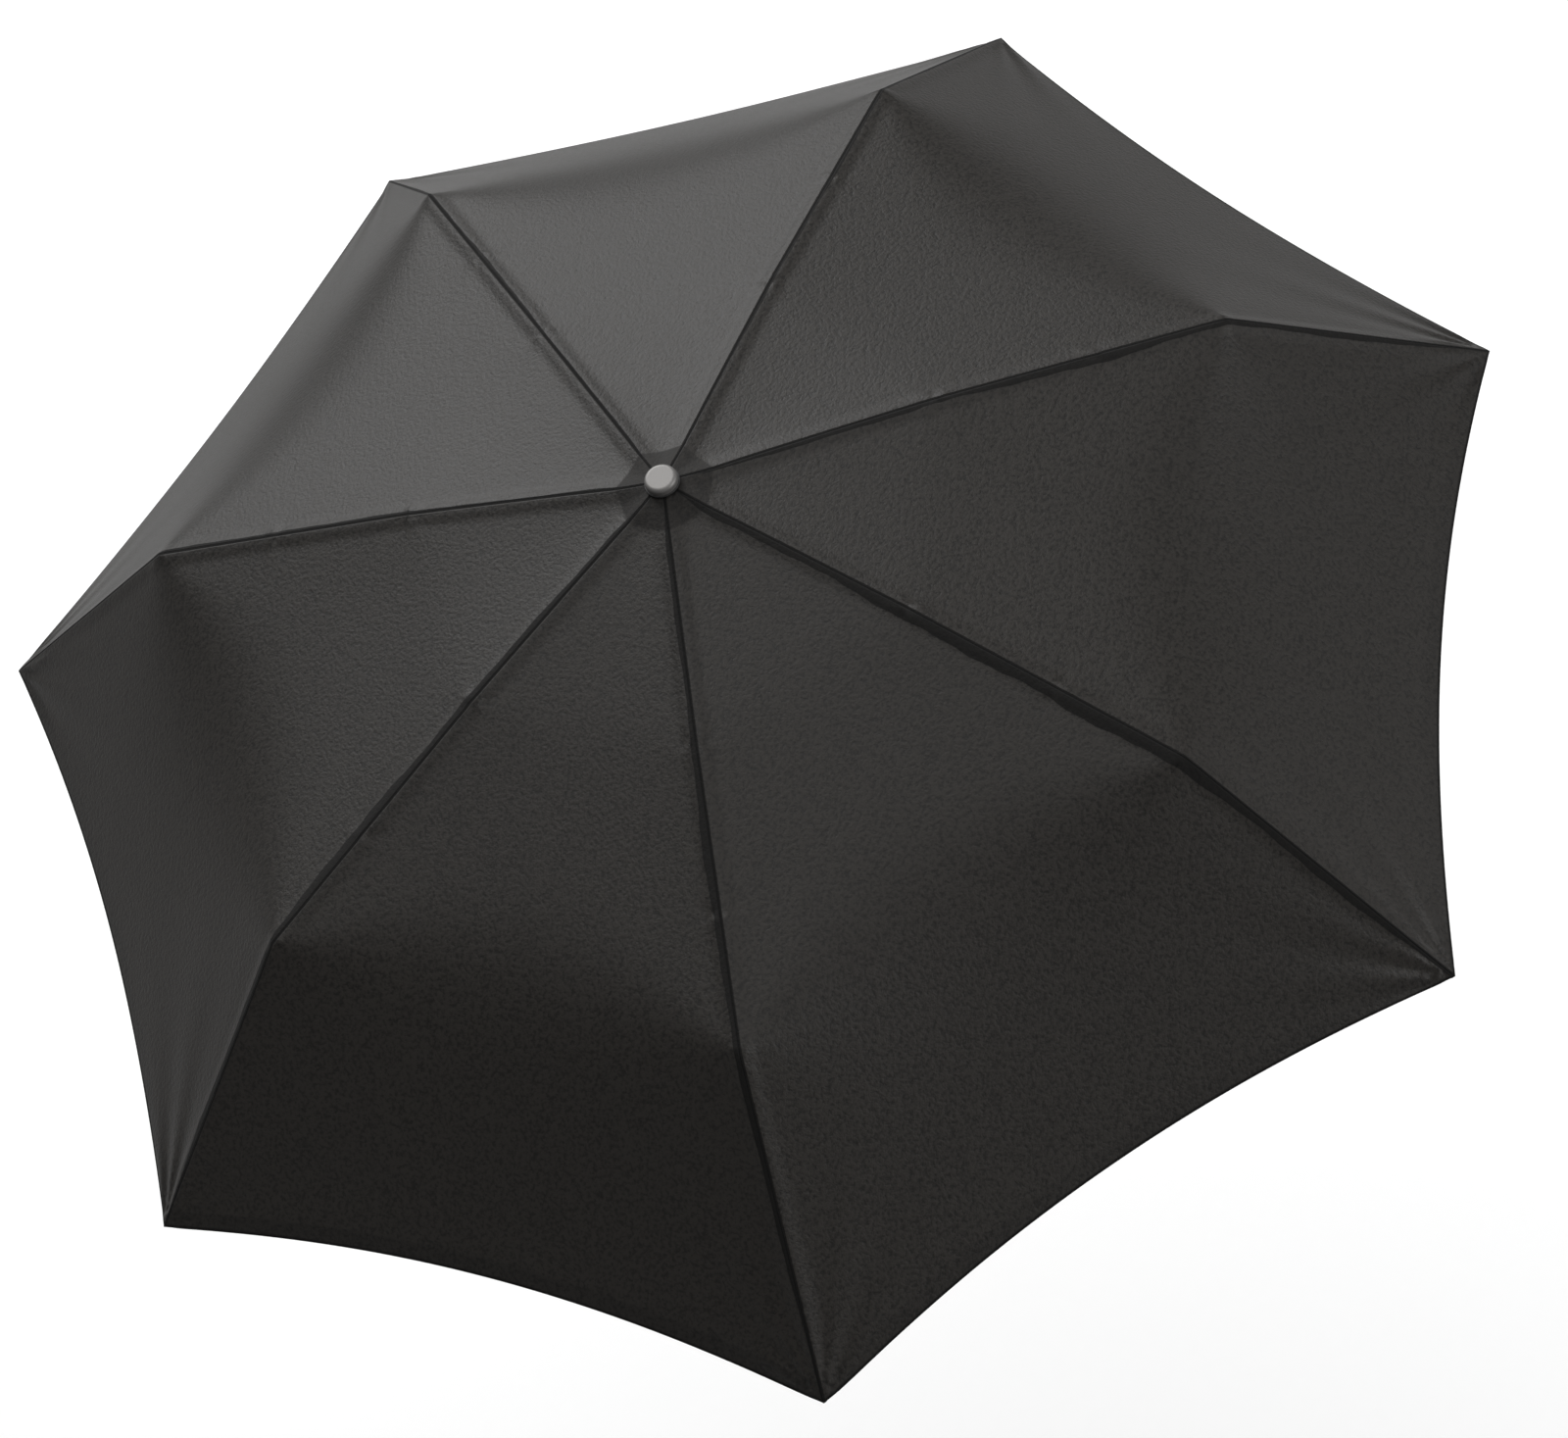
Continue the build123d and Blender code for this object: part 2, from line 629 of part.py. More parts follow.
patch_drop = rosette_gap + rosette_thickness
patch_reach = rosette_radius / cos(half_pitch)
patch_line = [(hole_cover[0], hole_cover[1] - patch_drop),
              (patch_reach, hole_cover[1] - patch_drop - cover_slope * (patch_reach - hole_cover[0]))]
patch = faceted_wedge(patch_line, rosette_thickness, rosette_radius,
                      rosette_radius * (cos(half_pitch) - 1))
with BuildPart() as rosette:
    for number in range(rib_count):
        add(patch.rotate(Axis.Z, number * pitch_angle))
save("rosette", rosette.part)

# ---------------------------------------------------------------- cap on top of the canopy
washer_foot = hole_cover[1] + fabric_thickness + washer_lift
cap_foot = washer_foot + washer_height
spigot_radius = upper_tube_radius - tube_wall - tube_clearance
with BuildPart() as cap_washer:
    with BuildSketch(Plane.XY.offset(washer_foot)):
        Circle(washer_radius)
        Circle(spigot_radius + pivot_clearance, mode=Mode.SUBTRACT)
    extrude(amount=washer_height)
    fillet(cap_washer.edges().group_by(Axis.Z)[-1].sort_by(SortBy.LENGTH)[-1], washer_height / 3)
save("cap_washer", cap_washer.part)

with BuildPart() as top_cap:
    with BuildSketch(Plane.XY.offset(cap_foot)):
        Circle(cap_radius)
    extrude(amount=cap_height)
    fillet(top_cap.edges().group_by(Axis.Z)[-1], cap_fillet)
    with BuildSketch(Plane.XY.offset(cap_foot)):
        Circle(spigot_radius)
    extrude(amount=-(cap_foot - crown_height + cap_spigot_depth))
save("top_cap", top_cap.part)
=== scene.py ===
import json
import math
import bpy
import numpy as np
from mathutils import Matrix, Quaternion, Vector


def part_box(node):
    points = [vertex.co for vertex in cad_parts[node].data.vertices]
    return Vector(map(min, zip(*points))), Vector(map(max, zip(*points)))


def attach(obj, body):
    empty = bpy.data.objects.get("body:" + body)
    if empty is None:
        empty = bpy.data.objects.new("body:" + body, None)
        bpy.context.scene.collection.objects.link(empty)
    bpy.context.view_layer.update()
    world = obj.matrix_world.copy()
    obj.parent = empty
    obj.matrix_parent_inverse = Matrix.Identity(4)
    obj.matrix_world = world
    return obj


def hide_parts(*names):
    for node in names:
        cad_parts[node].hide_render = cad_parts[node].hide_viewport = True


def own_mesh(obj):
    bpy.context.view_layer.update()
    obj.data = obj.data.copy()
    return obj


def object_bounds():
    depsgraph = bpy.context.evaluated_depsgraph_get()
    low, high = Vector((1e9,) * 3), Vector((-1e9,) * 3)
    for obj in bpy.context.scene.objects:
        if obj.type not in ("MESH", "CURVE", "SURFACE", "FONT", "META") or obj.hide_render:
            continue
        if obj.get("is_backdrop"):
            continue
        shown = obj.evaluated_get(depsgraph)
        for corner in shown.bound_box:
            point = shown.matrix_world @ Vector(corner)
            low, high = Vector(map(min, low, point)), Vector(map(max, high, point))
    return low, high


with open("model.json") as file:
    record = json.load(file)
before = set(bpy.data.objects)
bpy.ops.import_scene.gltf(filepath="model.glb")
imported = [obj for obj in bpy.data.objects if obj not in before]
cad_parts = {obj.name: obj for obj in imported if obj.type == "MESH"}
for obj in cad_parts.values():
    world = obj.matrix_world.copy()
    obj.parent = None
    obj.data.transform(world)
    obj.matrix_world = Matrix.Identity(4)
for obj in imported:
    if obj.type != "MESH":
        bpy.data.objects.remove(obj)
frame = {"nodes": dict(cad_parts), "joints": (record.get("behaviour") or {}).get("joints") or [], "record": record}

# %% [markdown]
# # A folding umbrella, open, seen from above
# The tubes, ribs, rods, runner, cap, tips and handle come from the design as they are, and only get their
# finishes here. What is made in this lesson is what a frame can't hold: the cloth, its seams and hem, the
# tapes that the seams leave underneath, and the patch of cloth under the cap.
# Everything is in metres, with Z up the shaft and rib 1 over +X.

cad_box = [list(corner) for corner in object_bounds()]
joints = {joint["name"]: joint for joint in frame["joints"]}
RIBS = 7
PITCH = 2 * math.pi / RIBS
HALF = PITCH / 2

# %% [markdown]
# ## Where the cloth lies
# The cloth touches each rib at four places: its edge at the crown, the first knee, the elbow and the tip.
# The knee and the elbow are pivots of the design and the two ends are those of its gores, so all four are
# read from it. The cloth lies a little above the pivots, because the ribs and their rivets are under it.
# A list of (distance from the shaft, height) describes every rib, because the seven are alike.

# %% The cloth's line over a rib
CLOTH = 0.0005
knee = Vector(joints["middle_rib_fold_1"]["pos_m"])
elbow = Vector(joints["tip_rib_fold_1"]["pos_m"])
gore_low, gore_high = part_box("gore_1")
HOLE = 0.007
KNEE_LIFT = 0.0025
ELBOW_LIFT = 0.0042
ELBOW_LEAN = math.radians(26.6)
line = [
    (HOLE, gore_high.z - CLOTH / 2),
    (knee.x, knee.z + KNEE_LIFT + CLOTH / 2),
    (elbow.x + ELBOW_LIFT * math.sin(ELBOW_LEAN), elbow.z + ELBOW_LIFT * math.cos(ELBOW_LEAN) + CLOTH / 2),
    (gore_high.x, gore_low.z + CLOTH / 2),
]
slopes = [(b[1] - a[1]) / (b[0] - a[0]) for a, b in zip(line, line[1:])]
print("slopes of the three stretches:", [round(math.degrees(math.atan(-s)), 1) for s in slopes])

# %% [markdown]
# ## The shape of the stretched cloth
# Cloth sewn to a rib has to bend where the rib bends, so its crease is sharp there. Between two ribs nothing
# holds the crease, and the pull across the panel rounds it off. A cloth simulation could look for this shape
# slowly. One formula gives it at once: a smooth step that gets wider with the distance from the nearest rib.
# Each rib also lifts its seam like a tent pole, the panel sinks a few millimetres between two ribs, the
# crown dips a little around the cap, and the hem is cut on a curve.

# %% One formula for the whole canopy
SEAM_RADIUS = 0.0004
SOFTNESS = 0.37
SOFT_START = 0.005
SAG = 0.011
SAG_START = 0.02
TENT = 0.0012
TENT_WIDTH = 0.0065
TENT_START = 0.05
HEM_RISE = 0.017
PATCH_REACH = 0.030
PEAK = 0.0012
PEAK_FADE = 0.05
TIP_REACH = line[3][0]


def smooth_step(x, width):
    """Zero before a bend and a straight run after it, rounded over a few times that width."""
    return width * np.logaddexp(0, x / width)


def height(reach, from_rib, across):
    """Cloth height. reach is along the rib, from_rib is square to it, across is 0 at a rib and 1 midway."""
    width = SEAM_RADIUS + SOFTNESS * from_rib**2 / (from_rib + SOFT_START) * (1 - across / 2)
    z = line[0][1] + slopes[0] * (reach - line[0][0])
    for bend, before, after in zip(line[1:3], slopes, slopes[1:]):
        z = z + (after - before) * smooth_step(reach - bend[0], width)
    inside = np.clip((reach - HOLE) / (PATCH_REACH - HOLE), 0, 1)
    fade = np.exp(-np.maximum(reach - PATCH_REACH, 0) / PEAK_FADE)
    peak = PEAK * inside * fade * (2 - (1 - across) ** 2)
    tent = TENT * np.clip(reach / TENT_START, 0, 1) * (1 - np.exp(-((from_rib / TENT_WIDTH) ** 3)))
    return z - tent - peak - SAG * np.maximum(reach - SAG_START, 0) * (1 - (1 - across) ** 2)


def hem_reach(across):
    """Rib distance of the hem: it curves inward from each tip."""
    return TIP_REACH - HEM_RISE / math.cos(HALF) * (1 - (1 - across) ** 2)


print("middle of a hem is", round(float(height(hem_reach(1.0), 0.2, 1.0)), 3), "m up")

# %% [markdown]
# Where the cloth is tied to a rib it puckers, and from each tip a few folds fan out, because the thread pulls
# more there than the cloth around it can follow. Both are small waves that die away with distance.

# %% Puckers and folds
TIES = [1.0, 1.55, 2.02]  # 1 is the knee, 2 the elbow and 3 the tip
PUCKER, PUCKER_SIZE, PUCKER_WAVES = 0.0004, 0.011, 3
FAN, FAN_SIZE, FAN_WAVES = 0.0016, 0.045, 11


def ripple(reach, side, rib):
    """Small heights added by the ties along a rib and by the pull at its tip."""
    total = np.zeros_like(reach)
    for number, place in enumerate(TIES):
        whole = int(place)
        start, end = line[whole][0], line[min(whole + 1, 3)][0]
        along = reach - (start + (place - whole) * (end - start))
        far = np.sqrt(along**2 + side**2)
        turn = np.arctan2(side, along)
        waves = PUCKER * np.exp(-((far / PUCKER_SIZE) ** 2)) * np.sin(PUCKER_WAVES * turn + rib + number)
        total += waves * np.minimum(side / 0.003, 1)
    away = np.sqrt((TIP_REACH - reach) ** 2 + side**2)
    turn = np.arctan2(side, TIP_REACH - reach + 1e-6)
    fade = np.exp(-away / FAN_SIZE) * np.minimum(away / 0.02, 1)
    total += FAN * fade * np.sin(FAN_WAVES * turn + 1.7 * rib) * np.minimum(side / 0.004, 1)
    return total


print("ties along each rib:", len(TIES))

# %% [markdown]
# ## Cutting the canopy into pieces that can fold
# The real cloth is one skin of seven gores. Here each gore is cut along its middle and at the two bends, so
# that every piece can ride with the rib that carries it. All pieces come from the one formula above and share
# their edges and their surface directions, so the skin looks whole when it is open. A cut square to the gore
# leaves a long spike above the folded ribs, and a cut square to the rib makes the bundle flare, so the outer cut
# leans only a part of the way. A short spike and a small flare are left.

# %% A grid of points for one piece
ACROSS = 34
CROWDING = 1.6  # brings the grid's columns closer together near a rib, where the cloth bends most
SECTIONS = {"crown": (0, "top_rib", 34), "middle": (1, "middle_rib", 38), "hem": (2, "tip_rib", 46)}
SMALL_STEP = 0.0002
LAP = 0.0006
CUT_LEAN = {1: 1.0, 2: 0.3}


def place(reach, across, gore, side):
    """Points of the skin. side is -1 for the half on rib number gore and +1 for the half on the next rib."""
    half_width = reach * math.sin(HALF)
    sideways = half_width * (1 - across)
    from_rib = half_width * across * math.cos(HALF)
    rib = gore if side < 0 else gore % RIBS + 1
    z = height(reach, from_rib, across) + ripple(reach, from_rib, rib)
    x, y = reach * math.cos(HALF), side * sideways
    middle = (gore - 0.5) * PITCH
    c, s = math.cos(middle), math.sin(middle)
    return np.stack([c * x - s * y, s * x + c * y, z], -1)


def cut(index, across):
    """Rib distance of a cut: a lean of 0 is square to the gore, and 1 is square to the rib."""
    if index == 3:
        return hem_reach(across)
    return line[index][0] * (1 + CUT_LEAN.get(index, 0) * across * math.tan(HALF) ** 2)


def grid(section, side):
    """Rib distances and shares across. A piece runs a hair under its neighbours, so no light gets between."""
    index, _, rows = SECTIONS[section]
    share_across = np.linspace(0, 1, ACROSS + 1) ** CROWDING
    start, end = cut(index, share_across), cut(index + 1, share_across)
    reach = start + np.linspace(0, 1, rows + 1)[:, None] * (end - start)
    if index > 0:
        reach = np.concatenate([reach[:1] - LAP, reach])
    across = share_across[None, :] * np.ones_like(reach)
    if side > 0:
        reach = np.concatenate([reach, reach[:, -1:]], 1)
        across = np.concatenate([across, np.full_like(reach[:, :1], 1 + 2 * LAP)], 1)
    return reach, across


def directions(reach, across, gore, side):
    """Surface directions, from the formula and not from the mesh, so that pieces meet without a line."""
    across = np.maximum(across, 2e-3)
    along = place(reach + SMALL_STEP, across, gore, side) - place(reach - SMALL_STEP, across, gore, side)
    over = place(reach, across + 1e-3, gore, side) - place(reach, across - 1e-3, gore, side)
    found = np.cross(along, over) * -side
    found /= np.linalg.norm(found, axis=-1, keepdims=True)
    return found * np.sign(found[..., 2:3])


def new_object(name, points, faces, normals=None):
    mesh = bpy.data.meshes.new(name)
    mesh.from_pydata([tuple(p) for p in points], [], faces)
    mesh.validate()
    mesh.shade_smooth()
    if normals is not None:
        mesh.normals_split_custom_set_from_vertices([tuple(n) for n in normals])
    made = bpy.data.objects.new(name, mesh)
    bpy.context.scene.collection.objects.link(made)
    return made


print("one half gore has", ACROSS * sum(s[2] for s in SECTIONS.values()), "faces")

# %% [markdown]
# The cloth needs to know where its seams are, so that the thread, the tape and the hem, and the shade painted
# over them, can be drawn at their width. Each point keeps two numbers in a UV map: how far it is from the
# nearest seam, and how far along the rib. Two more are kept as attributes: the width there of the tape and of
# the band of painted shade over it, uneven because the tape was not cut evenly and wider beside some ribs where
# more shade is painted, and how far the point is from the hem.

# %% Seam coordinates
# Each rib's tape width also sets the band of painted shade beside that rib, so the widths differ from rib to rib
# with how the light falls on each.
TAPE_AND_SHADE_WIDTHS = {1: 0.0016, 2: 0.0018, 3: 0.0024, 4: 0.0050, 5: 0.0036, 6: 0.0062, 7: 0.0040}


def tape_and_shade_width(reach, rib):
    """Width of the folded seam allowance, which lies on one side of each rib, and of the band of painted shade
    over it: three waves make it uneven.
    """
    uneven = 1 + 0.14 * np.sin(reach * 41 + rib * 2.3) + 0.09 * np.sin(reach * 97 + rib)
    uneven = uneven + 0.05 * np.sin(reach * 310)
    swell = 0.75 + 0.5 * np.exp(-(((reach - 0.25) / 0.09) ** 2))
    narrow = np.clip((TIP_REACH - reach) / 0.05, 0.35, 1) * np.clip((reach - 0.008) / 0.03, 0.2, 1)
    return TAPE_AND_SHADE_WIDTHS[rib] * uneven * swell * narrow


def add_seam_map(made, seam, along, tape, from_hem=None):
    layer = made.data.uv_layers.new(name="seam")
    corner = np.zeros(len(made.data.loops), np.int32)
    made.data.loops.foreach_get("vertex_index", corner)
    layer.data.foreach_set("uv", np.stack([seam[corner], along[corner]], -1).astype(np.float32).ravel())
    from_hem = np.ones_like(tape) if from_hem is None else from_hem
    for name, values in (("tape", tape), ("from_hem", from_hem)):
        made.data.attributes.new(name, "FLOAT", "POINT").data.foreach_set("value", values.astype(np.float32))


print("tapes are about", sorted(1000 * width for width in TAPE_AND_SHADE_WIDTHS.values()), "mm wide")

# %% [markdown]
# ## The gores
# Every piece is a plain grid of four-sided faces. At the hem the cloth is turned under, as it is sewn, so
# its last rows run back below the skin: the edge then has the roundness of a real fold.

# %% Make the gores
HEM_TURN = 0.009
HEM_GAP = 0.0007


def rib_azimuth(rib):
    return (rib - 1) * PITCH


def rib_point(index, rib):
    reach, z = line[index]
    a = rib_azimuth(rib)
    return Vector((reach * math.cos(a), reach * math.sin(a), z))


cloth_pieces = {}
for gore in range(1, RIBS + 1):
    for side, half in ((-1, "a"), (1, "b")):
        rib = gore if side < 0 else gore % RIBS + 1
        for section, (index, body, _) in SECTIONS.items():
            reach, across = grid(section, side)
            points = place(reach, across, gore, side)
            lapped = across > 1
            lapped[0] |= index > 0
            points[..., 2] -= np.where(lapped, LAP / 10, 0)
            normals = directions(reach, across, gore, side)
            if section == "hem":
                back = np.linspace(0.15, 1, 4)[:, None]
                under = reach[-1] - back * HEM_TURN * np.ones_like(reach[-1])[None, :]
                share = across[-1] * np.ones_like(under)
                turned = place(under, share, gore, side)
                turned[..., 2] -= HEM_GAP * np.minimum(1, back * 2.5)
                points = np.concatenate([points, turned])
                normals = np.concatenate([normals, -directions(under, share, gore, side)])
                reach, across = np.concatenate([reach, under]), np.concatenate([across, share])
            ids = np.arange(reach.size).reshape(reach.shape)
            a, b, c, d = ids[:-1, :-1], ids[1:, :-1], ids[1:, 1:], ids[:-1, 1:]
            order = (a, b, c, d) if side < 0 else (a, d, c, b)
            faces = np.stack(order, -1).reshape(-1, 4).tolist()
            name = f"gore_{gore}_{section}_{half}"
            made = new_object(name, points.reshape(-1, 3), faces, normals.reshape(-1, 3))
            seam = reach * math.sin(HALF) * across * math.cos(HALF)
            side_sign = 1.0 if side > 0 else -1.0
            # the tape lies on the clockwise side of a rib, which is the second half of the gore before it
            add_seam_map(made, (seam * side_sign).ravel(), reach.ravel(),
                         tape_and_shade_width(reach, rib).ravel() if side > 0 else np.zeros(reach.size),
                         (hem_reach(across) - reach).ravel())
            cloth_pieces[name] = (made, section, index, body, rib, gore)
print("made", len(cloth_pieces), "pieces of cloth")

# %% [markdown]
# ## The patch under the cap and the tapes under the seams
# A second layer of cloth strengthens the crown, and each seam leaves a folded strip under the canopy. Both
# follow the same formula as the gores, a fraction of a millimetre lower, so they don't cut through them while
# the canopy is open.

# %% Patch and tapes
PATCH_GAP = 0.0007
PATCH_ROWS = 16
TAPE_GAP = 0.0004
TAPE_ROWS_ACROSS = 6
columns = np.linspace(0, 1, 13)
rows = np.linspace(HOLE + 0.0005, PATCH_REACH, PATCH_ROWS)
rows = np.concatenate([rows, [PATCH_REACH - 0.001, PATCH_REACH - 0.003]])
drop = np.concatenate([np.full(PATCH_ROWS, PATCH_GAP), [PATCH_GAP + 0.0002, PATCH_GAP + 0.0003]])
drop = drop[:, None, None]
wedges, seams = [], []
for gore in range(1, RIBS + 1):
    for side, share in ((-1, columns[:-1]), (1, columns[:0:-1])):
        across, reach = np.meshgrid(share, rows)
        wedges.append(place(reach, across, gore, side) - drop * np.array([0, 0, 1]))
        seams.append(reach * math.sin(HALF) * across * math.cos(HALF) * side)
points, seams = np.concatenate(wedges, 1), np.concatenate(seams, 1)
ids = np.arange(seams.size).reshape(seams.shape)
a, b = ids[:-1], ids[1:]
faces = np.stack([a, b, np.roll(b, -1, 1), np.roll(a, -1, 1)], -1).reshape(-1, 4).tolist()
patch = new_object("crown_patch", points.reshape(-1, 3), faces)
add_seam_map(patch, seams.ravel(), np.repeat(rows, seams.shape[1]), np.zeros(seams.size))

tapes = {}
for rib in range(1, RIBS + 1):
    gore = (rib - 2) % RIBS + 1
    for section, (index, body, count) in SECTIONS.items():
        last = TIP_REACH - HEM_TURN if index == 2 else line[index + 1][0]
        share = np.linspace(0, 1, TAPE_ROWS_ACROSS)[None, :]
        reach = np.linspace(line[index][0] + 0.002, last, count)[:, None] * np.ones_like(share)
        from_rib = share * tape_and_shade_width(reach, rib)
        across = from_rib / (reach * math.sin(HALF) * math.cos(HALF))
        points = place(reach, across, gore, 1)
        points[..., 2] -= TAPE_GAP + 0.0003 * share
        ids = np.arange(reach.size).reshape(reach.shape)
        faces = np.stack([ids[:-1, :-1], ids[:-1, 1:], ids[1:, 1:], ids[1:, :-1]], -1).reshape(-1, 4).tolist()
        made = new_object(f"seam_tape_{rib}_{section}", points.reshape(-1, 3), faces)
        add_seam_map(made, np.full(reach.size, -0.02), reach.ravel(), np.zeros(reach.size))
        tapes[gore, section] = (made, f"{body}_{rib}")
print("made the patch and", len(tapes), "tapes")

# %% [markdown]
# ## Finishes
# A finish is a Principled shader whose colour, roughness and bump come from noise at the size that the real
# surface has. One small builder makes the common ones, so that each finish below is only its own numbers.


# %% A builder for finishes
class Tree:
    """A material and short ways to add nodes to it."""

    def __init__(self, name):
        self.material = bpy.data.materials.new(name)
        self.material.use_nodes = True
        self.tree = self.material.node_tree
        self.shader = self.tree.nodes["Principled BSDF"]
        self.output = self.tree.nodes["Material Output"]

    def node(self, kind, inputs=None, **settings):
        made = self.tree.nodes.new(kind)
        for key, value in settings.items():
            setattr(made, key, value)
        for key, value in (inputs or {}).items():
            self.give(made.inputs[key], value)
        return made

    def give(self, socket, value):
        if isinstance(value, bpy.types.NodeSocket):
            self.tree.links.new(value, socket)
        else:
            socket.default_value = value

    def math(self, operation, a, b=0.0, c=0.0):
        made = self.node("ShaderNodeMath", operation=operation)
        for socket, value in zip(made.inputs, (a, b, c)):
            self.give(socket, value)
        return made.outputs[0]

    def mix(self, share, a, b):
        made = self.node("ShaderNodeMix", data_type="RGBA")
        for socket, value in zip((made.inputs[0], made.inputs[6], made.inputs[7]), (share, a, b)):
            self.give(socket, value)
        return made.outputs[2]

    def noise(self, vector, scale, detail=3.0, roughness=0.55):
        made = self.node("ShaderNodeTexNoise", {"Vector": vector, "Scale": scale, "Detail": detail,
                                                "Roughness": roughness})
        return made.outputs["Fac"]

    def band(self, value, low, high):
        """0 at or below low, 1 at or above high."""
        made = self.node("ShaderNodeMapRange", {"Value": value, "From Min": low, "From Max": high})
        return made.outputs["Result"]

    def bump(self, height_socket, strength, distance, after=None):
        inputs = {"Height": height_socket, "Strength": strength, "Distance": distance}
        if after is not None:
            inputs["Normal"] = after
        return self.node("ShaderNodeBump", inputs).outputs["Normal"]

    def kept(self, name):
        """A number that each point of the mesh keeps under that name."""
        made = self.node("ShaderNodeAttribute", attribute_name=name, attribute_type="GEOMETRY")
        return made.outputs["Fac"]

    def place(self):
        return self.node("ShaderNodeTexCoord").outputs["Object"]

    def stretched(self, scale):
        return self.node("ShaderNodeMapping", {"Vector": self.place(), "Scale": scale}).outputs["Vector"]


def rgb(level, warm=0.0):
    """A grey of that linear level, a little warm or cool."""
    return (level * (1 + warm), level, level * (1 - warm), 1)


print("finishes are built from", len([m for m in dir(Tree) if not m.startswith("_")]), "helpers")

# %% [markdown]
# ### Umbrella cloth
# The cloth is a thin charcoal polyester. Close up it is a fine plain weave; at arm's length it shows a soft
# sparkle, because each thread catches light at its own angle. Here the grain noise paints that sparkle into the
# colour, together with the weave's own uneven tone. The cloth lets some light through, which is why the folded
# seams, the hem and the patch under the cap look darker: there, light crosses two or three layers. That shade is
# painted into the colour as darker bands, lines and patches, along with painted shade in the seams' grooves and
# beside the raised ribs.

# %% Umbrella cloth
CLOTH_GREY, CLOTH_LETS_THROUGH = 0.018, 0.2
PATCH_GREY, PATCH_LETS_THROUGH = 0.012, 0.1
# The first size is that of the grain, which also carries the painted sparkle.
GRAIN_AND_SPARKLE, CLOUDS, BROAD, WEAVE = 430.0, 95.0, 9.0, 900.0


def cloth_finish(name, grey, through, patch_reach=0.0):
    t = Tree(name)
    where = t.place()
    uv = t.node("ShaderNodeUVMap", uv_map="seam").outputs["UV"]
    split = t.node("ShaderNodeSeparateXYZ", {"Vector": uv})
    from_seam, along = split.outputs["X"], split.outputs["Y"]
    near = t.math("ABSOLUTE", from_seam)
    grain_and_sparkle = t.noise(where, GRAIN_AND_SPARKLE, 3.0, 0.62)
    cloudy = t.noise(where, CLOUDS, 3.0, 0.6)
    broad = t.noise(where, BROAD, 2.0, 0.5)
    # Light and dark grain in the colour: partly the weave's own uneven tone, partly painted sparkle of threads
    # catching the light.
    tone = t.math("MULTIPLY_ADD", t.band(grain_and_sparkle, 0.36, 0.68), 1.0, 0.40)
    tone = t.math("MULTIPLY", tone, t.math("MULTIPLY_ADD", cloudy, 0.30, 0.86))
    tone = t.math("MULTIPLY", tone, t.math("MULTIPLY_ADD", broad, 0.16, 0.92))
    tape = t.kept("tape")
    # Painted shade: where the tape lies under the seam the colour is darkened by about three quarters, for the
    # light the extra layers hold back and the shade beside the raised rib.
    inside = t.math("LESS_THAN", from_seam, tape)
    on_side = t.math("GREATER_THAN", from_seam, 0.0)
    tape_shade = t.math("MULTIPLY", inside, on_side)
    # The seam line is darkened partly for the thread and partly as painted shade in the seam's groove.
    thread_and_groove_shade = t.math("SUBTRACT", 1.0, t.band(near, 0.0005, 0.0012))
    # Painted shade: a thin darker line along the tape's edge, where the fold under the cloth holds back light.
    from_edge = t.math("ABSOLUTE", t.math("SUBTRACT", from_seam, tape))
    tape_edge_shade = t.math("SUBTRACT", 1.0, t.band(from_edge, 0.0002, 0.0007))
    tape_edge_shade = t.math("MULTIPLY", tape_edge_shade, on_side)
    # Painted shade: the cloth over the patch under the cap is darkened, for the light the second layer holds back.
    patch_shade = t.math("SUBTRACT", 1.0, t.band(along, patch_reach - 0.0006, patch_reach + 0.0006))
    # Painted shade: a darker strip along the hem, where the cloth is folded under.
    hem_fold_shade = t.math("SUBTRACT", 1.0, t.band(t.kept("from_hem"), 0.0009, 0.0019))
    dark = t.math("MULTIPLY_ADD", tape_shade, -0.74, 1.0)
    for mask, share in ((patch_shade, 0.27), (hem_fold_shade, 0.8), (thread_and_groove_shade, 0.85), (tape_edge_shade, 0.25)):
        dark = t.math("MULTIPLY", dark, t.math("MULTIPLY_ADD", mask, -share, 1.0))
    level = t.math("MULTIPLY", tone, dark)
    colour = t.mix(level, rgb(0.0), rgb(grey, 0.12))
    weave = t.node("ShaderNodeTexWave", {"Vector": where, "Scale": WEAVE}, wave_type="BANDS",
                   bands_direction="DIAGONAL").outputs["Fac"]
    normal = t.bump(grain_and_sparkle, 0.75, 0.0006)
    normal = t.bump(weave, 0.10, 0.0001, normal)
    normal = t.bump(t.math("MULTIPLY", thread_and_groove_shade, -1.0), 0.6, 0.0008, normal)
    t.give(t.shader.inputs["Base Color"], colour)
    dull = t.math("MAXIMUM", t.math("MULTIPLY", tape_shade, 0.35), t.math("MULTIPLY", patch_shade, 0.2))
    dull = t.math("MAXIMUM", dull, t.math("MULTIPLY", t.math("MAXIMUM", thread_and_groove_shade, hem_fold_shade), 0.45))
    t.give(t.shader.inputs["Roughness"], t.math("ADD", t.math("MULTIPLY_ADD", grain_and_sparkle, 0.24, 0.38), dull))
    t.give(t.shader.inputs["Normal"], normal)
    t.shader.inputs["Specular IOR Level"].default_value = 0.3
    t.shader.inputs["Sheen Weight"].default_value = 0.03
    t.shader.inputs["Sheen Roughness"].default_value = 0.5
    lit = t.node("ShaderNodeBsdfTranslucent", {"Color": colour, "Normal": normal})
    both = t.node("ShaderNodeMixShader", {0: through, 1: t.shader.outputs[0], 2: lit.outputs[0]})
    t.tree.links.new(both.outputs[0], t.output.inputs["Surface"])
    return t.material


